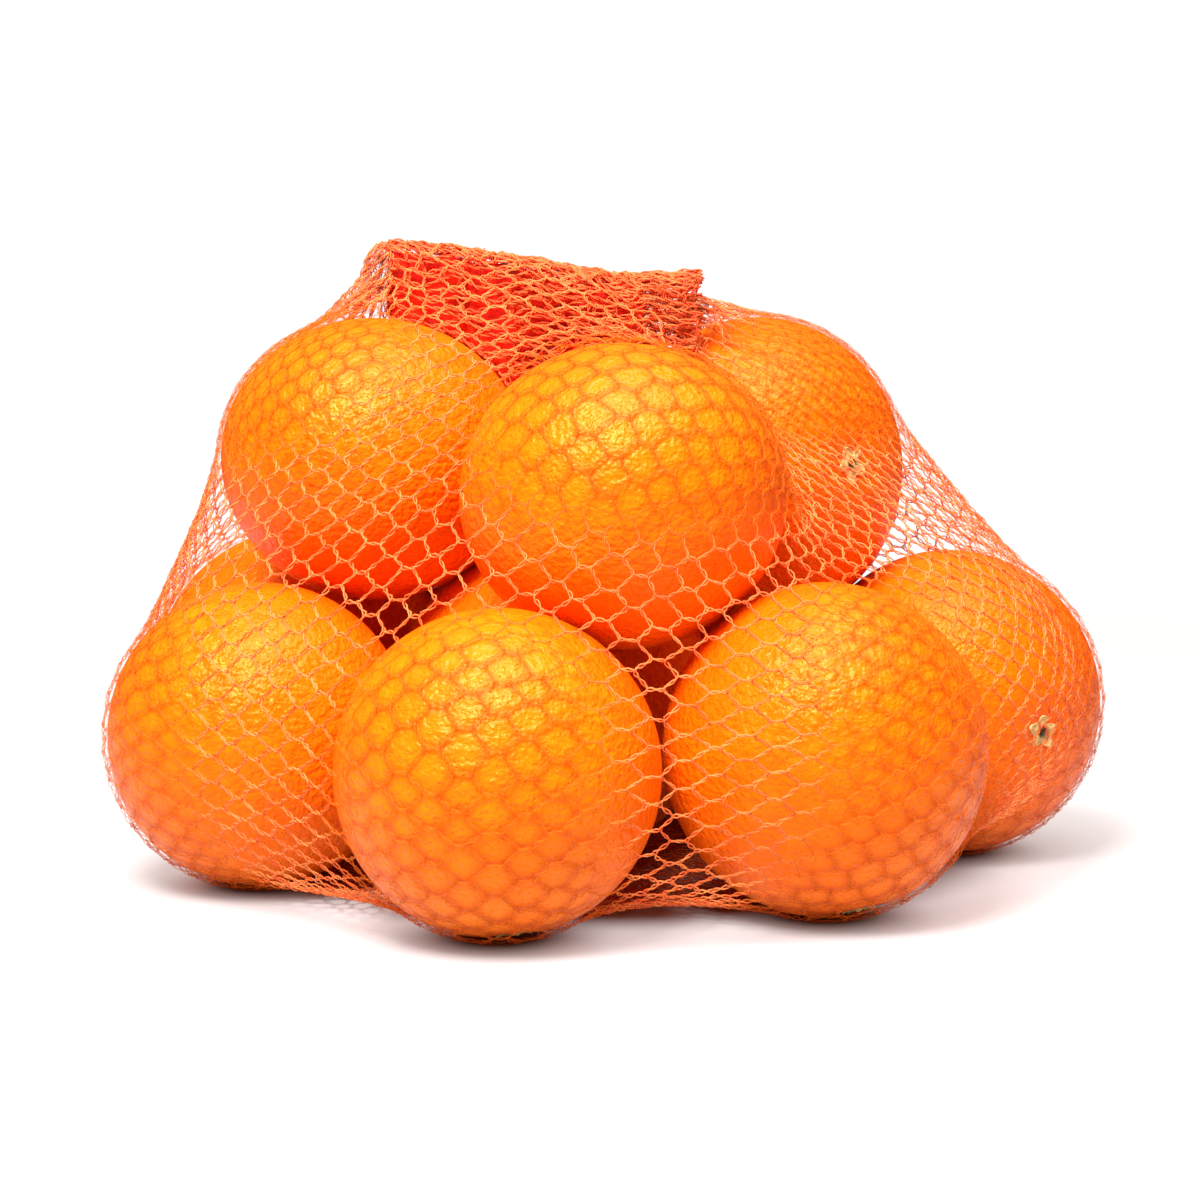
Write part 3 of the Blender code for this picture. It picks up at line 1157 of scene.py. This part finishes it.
@dataclass
class PileNet:
    """The net round the pile: six-sided cells in a tube, closed under the pile and gathered at the tail.

    A knot has a left and a right point with a link between them. The right point is tied to the left points
    of the next knots, above and below.
    """

    tail: TailForm
    columns: int = 53
    rows: int = 76
    floor_rows: int = 8
    closed_end: tuple = (-42.0, 12.0)
    half_link: float = 0.16
    rim_x: float = 130.0
    rim_y: float = 118.0
    bell_share: tuple = (0.0, 0.093, 0.307, 0.40, 0.52)
    bell_out: tuple = (0.03, 0.25, 0.81, 1.0, 1.0)
    bell_height: tuple = (0.6, 0.6, 0.6, 22.0, 62.0)
    link: float = 3.5
    diagonal: float = 5.7
    uneven: float = 0.17
    most_uneven: float = 0.3
    far_too_short: float = -0.6
    pulls: tuple = (0.5, 0.3, 0.03)
    rounds: int = 1800
    quick_rounds: int = 500
    haste: float = 0.75
    evening: float = 0.02
    spare_gap: float = 0.15
    lowest: float = 0.6
    tail_half: float = 6.1
    tail_shift: float = -0.9
    flare: float = 3.0
    crowd: tuple = (0.06, 0.10)
    crowd_rate: float = 2.0
    top_rise: float = 0.3
    slope: tuple = (7.0, 2.0, 15.0)
    right_way: float = 30.0
    right_drops: tuple = (26.0, 14.0)
    left_way: float = 150.0
    left_drops: tuple = (1.0, 12.0)
    drop_turn: float = 100.0
    tucks: tuple = ((0.0, 0.6, 4.0), (1.0, 0.8, 11.0))
    middle_height: float = 70.0
    link_over: float = 0.06
    steps: int = 5
    seed: int = 5
    threads: Threads = field(default_factory=Threads)

    def start(self) -> Array:
        """Lay the net out as a wide bell: a flat floor disc, an upright wall, and a cone up to the tail.

        Returns:
            The points, shape (rows, columns, 2, 3).
        """
        row, along = knot_layout(self.rows, self.columns, self.half_link)
        theta = FULL_TURN * along / self.columns
        share = row / (self.rows - 1.0) + 0.0 * theta
        rim = np.stack([self.rim_x * np.cos(theta), self.rim_y * np.sin(theta)], -1)
        out = np.interp(share, self.bell_share, self.bell_out)
        height = np.interp(share, self.bell_share, self.bell_height)
        least, disc, top = self.bell_out[0], self.bell_out[2], self.bell_share[-1]
        rise = np.clip((share - top) / (1.0 - top), 0.0, 1.0)[..., None]
        drift = np.clip((disc - out) / (disc - least), 0.0, 1.0)[..., None]
        flat = rim * out[..., None] + np.array(self.closed_end) * drift
        wall = np.concatenate([flat, height[..., None]], -1)
        return wall + (self.gathered(rim) - wall) * rise

    def gathered(self, rim: Array) -> Array:
        """Find where the strand from each point of the rim is gathered: the nearest place along the ridge.

        Places past an end crowd there, each lower the further it comes round. Turns are in degrees.

        Args:
            rim: points of the rim, seen from above.

        Returns:
            The gathered points.
        """
        tail = self.tail
        start = np.array([tail.left, tail.left_y])
        run = np.array([tail.right, tail.right_y]) - start
        raw = ((rim - start) @ run) / (run @ run)
        past_left, past_right = raw < 0.0, raw > 1.0
        before = self.crowd[0] * (1.0 - np.exp(self.crowd_rate * raw))
        beyond = 1.0 - self.crowd[1] * (1.0 - np.exp(self.crowd_rate * (1.0 - raw)))
        share = np.where(past_left, before, np.where(past_right, beyond, raw))
        x = tail.left + (tail.right - tail.left) * share
        away = unit(rim - (start + share[..., None] * run))
        turn = np.degrees(np.arctan2(away[..., 1], away[..., 0]))
        fall, fall_start, fall_run = self.slope
        high = tail.ridge(x) + self.top_rise - fall * smooth_step((x - fall_start) / fall_run)
        drop = np.where(turn < self.right_way, *self.right_drops)
        drop = drop * smooth_step(np.abs(turn - self.right_way) / self.drop_turn)
        high = high - np.where(past_right, drop, 0.0)
        off = np.abs((turn - self.left_way + 180.0) % 360.0 - 180.0)
        drop = self.left_drops[0] + self.left_drops[1] * smooth_step(off / self.drop_turn)
        high = high - np.where(past_left, drop, 0.0)
        y = tail.centre(x) + self.tail_shift + self.flare * away[..., 1]
        return np.stack([x + self.flare * away[..., 0], y, high], -1)

    def neighbours(self) -> Array:
        """Number each point's neighbours: its link's other end and the points tied to it above and below.

        Returns:
            The three numbers of each point, with -1 where there is none.
        """
        number = np.arange(self.rows * self.columns * 2).reshape(self.rows, self.columns, 2)
        even = (np.arange(self.rows) % 2 == 0)[:, None]
        tied = [number[..., ::-1]]
        for step, last in ((1, -1), (-1, 0)):
            left, right = np.moveaxis(np.roll(number, -step, axis=0), -1, 0)
            from_left = np.where(even, np.roll(right, 1, axis=1), right)
            other = np.stack([from_left, np.where(even, left, np.roll(left, -1, axis=1))], -1)
            other[last] = -1
            tied.append(other)
        return np.stack(tied, -1).reshape(-1, 3)

    def relax(self) -> Array:
        """Draw the net tight over the pile.

        Each round moves every point by half of what each of its three threads is too long, and a little
        towards their mean. A thread that is far too short pushes too, and a slack one hardly does. Then
        points come out of the oranges, off the floor and out of the tail.

        Returns:
            The points, shape (rows, columns, 2, 3).
        """
        laid = self.start()
        points = laid.reshape(-1, 3).copy()
        kept = points.copy()
        tied = self.neighbours()
        real = tied >= 0
        tied = np.where(real, tied, 0)
        own = np.arange(len(points))[:, None]
        draw = np.random.default_rng(self.seed)
        spread = draw.normal(0.0, self.uneven, len(points) * 3)
        edge = np.minimum(own, tied) * 3 + np.array([0, 1, 1])
        strain = np.clip(spread[edge], -self.most_uneven, self.most_uneven)
        rest = np.array([self.link, self.diagonal, self.diagonal]) * (1.0 + strain)
        tight, pressed, slack = self.pulls
        row = np.repeat(np.arange(self.rows), self.columns * 2)
        fixed = (row < self.floor_rows) | (row == self.rows - 1)
        for _ in range(self.rounds):
            gap = (points[tied] - points[:, None, :]) * real[..., None]
            length = np.linalg.norm(gap, axis=-1)
            excess = (length - rest) / np.maximum(length, 1e-6)
            pull = np.where(excess > 0.0, tight, np.where(excess < self.far_too_short, pressed, slack))
            drawn = ((pull * excess)[..., None] * gap).sum(1)
            points = points + self.haste * drawn + self.evening * gap.sum(1)
            points = push_out(points, NET_GAP + self.spare_gap)
            points[:, 2] = np.maximum(points[:, 2], self.lowest)
            points = self.tail.push_off(points, self.tail_half, self.tail_shift)
            for crease in CREASES:
                points = crease.push_off(points)
            points[fixed] = kept[fixed]
        return points.reshape(laid.shape)

    def strands(self, points: Array) -> Array:
        """Follow the upright strands, which turn over the ridge at the top and down inside the tail.

        Args:
            points: points of the net, of shape (rows, columns, 2, 3).

        Returns:
            The knots of the strands, of shape (strands, knots, 3).
        """
        lines = zigzags(points)
        top = lines[-1]
        inward = self.tail.centre(top[:, 0]) + self.tail_shift - top[:, 1]
        inner = [
            top + np.stack([0.0 * inward + aside, share * inward, 0.0 * inward - down], -1)
            for aside, share, down in self.tucks
        ]
        return np.concatenate([lines, inner]).transpose(1, 0, 2)

    def lay(self) -> tuple:
        """Draw the net tight and follow its threads.

        Returns:
            The lines of the strands, and those of the links between them.
        """
        points = self.relax()
        lines = settle(curve(self.strands(points), self.steps))
        return lines, links_across(points[1:-1], self.link_over, self.steps)

    def build(self, material: Material, lines: Array, links: Array) -> list:
        """Make the strands and the links between them, in pieces that each stay small.

        Args:
            material: the thread.
            lines: the lines of the strands.
            links: the lines of the links.

        Returns:
            The pieces.
        """
        draw = np.random.default_rng(self.seed + 1)
        middle = np.array([0.0, 0.0, self.middle_height])
        pieces = []
        for name, paths, parts in (("net_strands", lines, 3), ("net_links", links, 2)):
            for part in range(parts):
                chosen = paths[part * len(paths) // parts : (part + 1) * len(paths) // parts]
                phase = draw.uniform(0.0, FULL_TURN, len(chosen))
                made, faces = self.threads.tubes(chosen, unit(chosen - middle), phase)
                # Where each thread rests on the fruit: fainter there, with painted bounce light from the
                # skin.
                numbers = {"resting_bounce": resting_share(made)}
                item = make_piece(f"{name}_{part + 1}", made, faces, material, numbers)
                pieces.append(carry(item, Slot.NET, NET_NODE))
        return pieces


@dataclass
class TailNet:
    """The free end of the net, bunched along the ridge: a flattened tube of long cells with a ragged end."""

    tail: TailForm
    name: str
    seed: int
    thickness: float
    shift: float
    foot: float = 116.0
    top_margin: float = 0.2
    columns: int = 23
    rows: int = 18
    half_link: float = 0.2
    start_x: float = -59.0
    end_x: float = 20.5
    uneven_round: float = 0.006
    uneven_along: float = 0.8
    ragged: tuple = (-2.5, 1.0)
    past_ends: tuple = (-0.5, 1.0)
    over_ridge: float = 0.4
    crumple: float = 0.8
    crumple_rate: float = 0.42
    crumple_start: float = 6.0
    crumple_share: tuple = (0.6, 0.45, 0.8)
    steps: int = 6
    link_steps: int = 5
    link_over: float = 0.05
    threads: Threads = field(default_factory=lambda: Threads(pitch=6.5, thread_radius=0.27))

    def outline(self, x: Array, around: Array) -> Array:
        """Return points on the tube: an outline with upright sides and half-round ends, at each x.

        Args:
            x: places along the tail.
            around: shares of the way round, from the middle of the front side's foot upwards.

        Returns:
            Points in millimetres.
        """
        thick = self.thickness
        high = self.tail.ridge(x) - self.top_margin - thick
        low = self.foot + thick
        tall = high - low
        arc = math.pi * thick
        way = (around % 1.0) * (2.0 * tall + 2.0 * arc)
        stretch = [way < tall, way < tall + arc, way < 2.0 * tall + arc]
        over = (way - tall) / thick
        under = (way - 2.0 * tall - arc) / thick
        y = np.select(stretch, [-1.0, -np.cos(over), 1.0], np.cos(under))
        sides = [low + way, high + thick * np.sin(over), high - (way - tall - arc)]
        z = np.select(stretch, sides, low - thick * np.sin(under))
        return np.stack([x, self.tail.centre(x) + self.shift + thick * y, z], -1)

    def build(self, material: Material) -> Object:
        """Make the tail's strands and links.

        Args:
            material: the thread.

        Returns:
            The piece.
        """
        draw = np.random.default_rng(self.seed)
        row, along = knot_layout(self.rows, self.columns, self.half_link)
        around = along / self.columns
        around = around + draw.normal(0.0, self.uneven_round, around.shape)
        x = self.start_x + (self.end_x - self.start_x) * row / (self.rows - 1.0) + 0.0 * around
        x = x + draw.normal(0.0, self.uneven_along, x.shape)
        x[-1] += draw.uniform(*self.ragged, x[-1].shape)
        x = np.clip(x, self.tail.left + self.past_ends[0], self.tail.right + self.past_ends[1])
        points = self.outline(x, around)
        sway = np.sin(points[..., ::-1] * self.crumple_rate + draw.uniform(0.0, self.crumple_start, 3))
        points = points + self.crumple * sway * np.array(self.crumple_share)
        points[..., 2] = np.minimum(points[..., 2], self.tail.ridge(points[..., 0]) + self.over_ridge)
        made, faces = np.zeros((0, 3)), []
        lines = settle(curve(zigzags(points).transpose(1, 0, 2), self.steps))
        links = links_across(points, self.link_over, self.link_steps)
        for paths, outward in ((lines, (0.0, 0.0, 1.0)), (links, (1.0, 0.0, 0.0))):
            phase = draw.uniform(0.0, FULL_TURN, len(paths))
            more, more_faces = self.threads.tubes(paths, np.array(outward) + 0.0 * paths, phase)
            faces += [part + len(made) for part in more_faces]
            made = np.concatenate([made, more])
        return carry(make_piece(self.name, made, faces, material), Slot.NET, NET_NODE)


# The label film


@dataclass
class LabelFilm:
    """The strip of label film: a thin creased sheet that stands against the front of the tail."""

    tail: TailForm
    gap: float = 0.4
    thickness: float = 0.35
    left: float = -58.25
    right: float = 6.75
    top_margin: float = 2.5
    ripple: float = 0.3
    ripple_length: float = 13.0
    edge_waves: tuple = (Wave(0.5, 0.55), Wave(0.35, 1.3, start=1.0))
    creases: tuple = (Wave(0.30, 0.55, 0.33), Wave(0.18, 0.21, -0.47))
    crease_share: float = 0.6
    fold: Bell = Bell(0.9, -37.5, 1.6)
    foot: float = 116.0
    columns: int = 150
    rows: int = 48

    def sheet(self, across: Array, up: Array, depth: float) -> Array:
        """Work out the film: upright on the tail's front, plus low ripples and slanting creases in its depth.

        Args:
            across: shares from the left edge to the right one.
            up: shares from the foot to the top edge.
            depth: how far in front of the film's back.

        Returns:
            Points in millimetres.
        """
        x = self.left + (self.right - self.left) * across
        low = self.foot + 0.0 * x
        high = self.tail.ridge(x) - self.top_margin
        for wave in self.edge_waves:
            high = high + wave.at(x, 0.0)
        z = low + (high - low) * up
        ripple = self.ripple * (1.0 + np.sin(FULL_TURN * x / self.ripple_length))
        soft, sharp = self.creases
        crease = (soft.at(x, z) + np.abs(sharp.at(x, z))) * self.crease_share
        y = self.tail.centre(x) - self.tail.half - self.gap - ripple - crease - self.fold.at(x) - depth
        return np.stack([x, y, z], -1)

    def build(self, material: Material) -> Object:
        """Make the film as one closed sheet with a front, a back and a rim.

        Args:
            material: the film.

        Returns:
            The piece.
        """
        shares = [np.linspace(0.0, 1.0, count + 1) for count in (self.columns, self.rows)]
        across, up = np.meshgrid(*shares, indexing="ij")
        back = self.sheet(across, up, 0.0).reshape(-1, 3)
        front = self.sheet(across, up, self.thickness).reshape(-1, 3)
        number = np.arange(len(back)).reshape(self.columns + 1, self.rows + 1)
        corners = [number[:-1, :-1], number[:-1, 1:], number[1:, 1:], number[1:, :-1]]
        quads = np.stack(corners, -1).reshape(-1, 4)
        rim = np.concatenate([number[:, 0], number[-1, 1:], number[-2::-1, -1], number[0, -2:0:-1]])
        after = np.roll(rim, -1)
        count = len(back)
        edge = np.stack([rim, after, after + count, rim + count], -1)
        faces = [quads, quads[:, ::-1] + count, edge]
        item = make_piece("film_strip", np.concatenate([back, front]), faces, material)
        return carry(item, Slot.FILM, FILM_NODE)


# The studio


@dataclass(frozen=True)
class Lamp:
    """A soft square lamp: where it stands, what it looks at, its width and its power."""

    name: str
    place: tuple
    target: tuple
    width: float
    power: float


LAMPS = (
    Lamp("key", (-0.30, -0.70, 1.15), (0.0, 0.0, 0.07), 0.46, 37.0),
    Lamp("top", (0.12, -0.15, 1.4), (0.0, 0.0, 0.05), 1.0, 23.0),
)


@dataclass
class Studio:
    """White floor and surroundings, soft lamps, and the camera."""

    floor_half: float = 6.0
    camera_place: tuple = (-4.25, -716.7, 151.0)
    camera_pitch: float = 6.5
    focal_pixels: float = 2820.0
    image_pixels: float = 1200.0
    sensor: float = 36.0
    far: float = 50.0
    backdrop: float = 1.05
    fill: tuple = (0.27, 0.11, 0.07, 1.0)

    def build(self) -> None:
        """Make the floor, the lamps, the white surroundings and the camera."""
        half = self.floor_half / MM
        corners = half * np.array([[-1.0, -1.0, 0.0], [1.0, -1.0, 0.0], [1.0, 1.0, 0.0], [-1.0, 1.0, 0.0]])
        floor = make_piece("studio_floor", corners, [np.array([[0, 1, 2, 3]])], FloorFinish().material())
        for lamp in LAMPS:
            data = bpy.data.lights.new(lamp.name, "AREA")
            data.size = lamp.width
            data.energy = lamp.power
            item = bpy.data.objects.new(lamp.name, data)
            item.location = lamp.place
            way = Vector(lamp.target) - Vector(lamp.place)
            item.rotation_mode = "QUATERNION"
            item.rotation_quaternion = way.to_track_quat("-Z", "Y")
            bpy.context.scene.collection.objects.link(item)
        sky = Sheet(bpy.data.worlds.new("white surroundings"), "Background")
        seen = Value(sky, sky.node("ShaderNodeLightPath", {}, {}).outputs["Is Camera Ray"])
        white = (self.backdrop, self.backdrop, self.backdrop, 1.0)
        bpy.context.scene.world = sky.dress({"Color": sky.blend(seen, self.fill, white)})
        data = bpy.data.cameras.new("camera")
        data.sensor_width = self.sensor
        data.lens = self.focal_pixels / self.image_pixels * self.sensor
        data.clip_end = self.far
        camera = bpy.data.objects.new("camera", data)
        tilt = Matrix.Rotation(math.radians(90.0 - self.camera_pitch), 4, "X")
        camera.matrix_world = Matrix.Translation(Vector(self.camera_place) * MM) @ tilt
        bpy.context.scene.collection.objects.link(camera)
        bpy.context.scene.camera = camera
        bpy.context.scene.view_settings.view_transform = "Standard"


def report(pieces: list) -> None:
    """Log each piece and its number of faces."""
    for item in pieces:
        log.info("%s: %d faces", item.name, len(item.data.polygons))


def main() -> None:
    """Build the fruit, the net, the film and the studio, and log each piece's number of faces."""
    logging.basicConfig(level=logging.INFO, format="%(message)s")
    tail = TailForm()
    peel = PeelFinish().material()
    stem = StemFinish().material()
    thread = ThreadFinish().material()
    net = PileNet(tail)
    lines, links = net.lay()
    # The painted shadow lines that the strands lay on the skin.
    shade = NetShade()
    shade.lay(np.concatenate([lines.reshape(-1, 3), links.reshape(-1, 3)]))
    oranges = [Orange(place, seed) for seed, place in enumerate(PLACES)]
    report([orange.build(peel, shade) for orange in oranges])
    report([StemButton(orange).build(stem) for orange in oranges])
    report([LabelFilm(tail).build(FilmFinish().material())])
    report(net.build(thread, lines, links))
    folds = (
        TailNet(tail, "tail_outer", 11, 6.7, -1.1),
        TailNet(tail, "tail_bunch", 13, 7.0, -1.4, columns=21, rows=12, start_x=-27.0, crumple=1.4),
        TailNet(tail, "tail_inner", 12, 3.4, 0.6, columns=20),
    )
    deep = ThreadFinish("tail thread", (1.0, 0.19, 0.055, 1.0), (0.88, 0.10, 0.028, 1.0), cover=0.85)
    deep_thread = deep.material()
    report([fold.build(deep_thread) for fold in folds])
    Studio().build()


if __name__ == "__main__":
    main()
